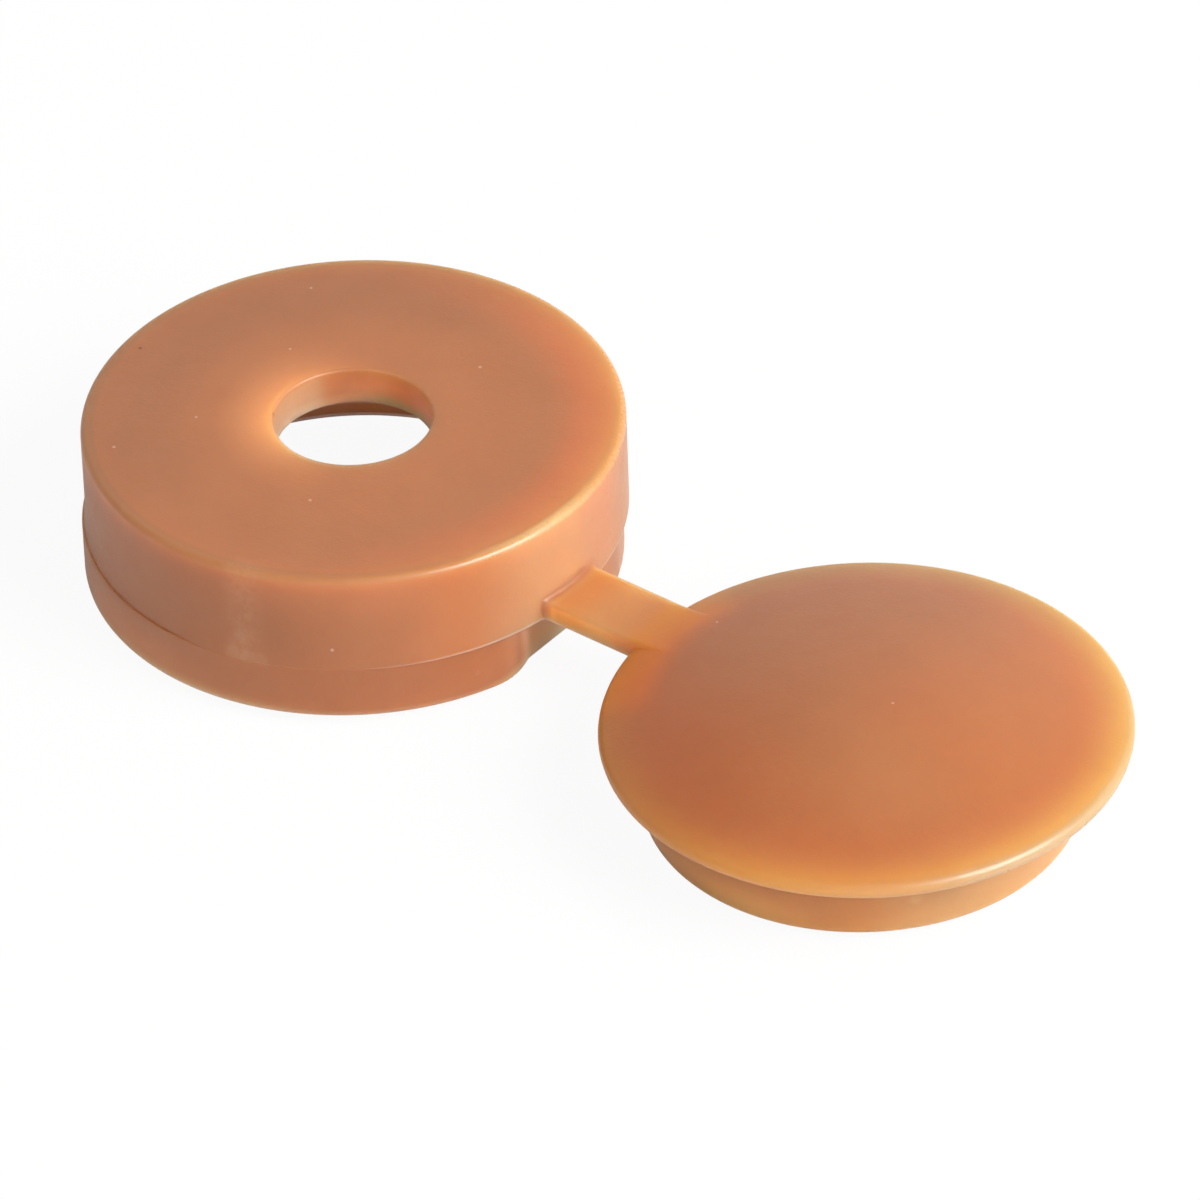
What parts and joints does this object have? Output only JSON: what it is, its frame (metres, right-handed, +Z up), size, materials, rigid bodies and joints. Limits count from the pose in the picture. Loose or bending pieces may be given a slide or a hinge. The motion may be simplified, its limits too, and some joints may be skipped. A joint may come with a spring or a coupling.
{
  "type": "screw cover cap",
  "caption": "Hinged screw cover cap moulded in one piece: a cup with a bore for the screw, joined by a flat strap to a low domed cap whose skirt plugs into the cup.",
  "frame": {"origin": "bottom centre of the part's box as it lies on a table, panel face up", "axes": "+X from the cup to the cap along the strap, +Z up; the part leans 1.34 degrees, its cap end up, because the skirt is longer than the cup below the parting plane"},
  "size_m": [0.028, 0.013, 0.0044],
  "materials": {
    "plastic": "semi-gloss, slightly translucent light-oak moulding plastic, yellower where it is thin"
  },
  "bodies": {
    "root": {"screw_cover_cap": "plastic"}
  },
  "joints": []
}
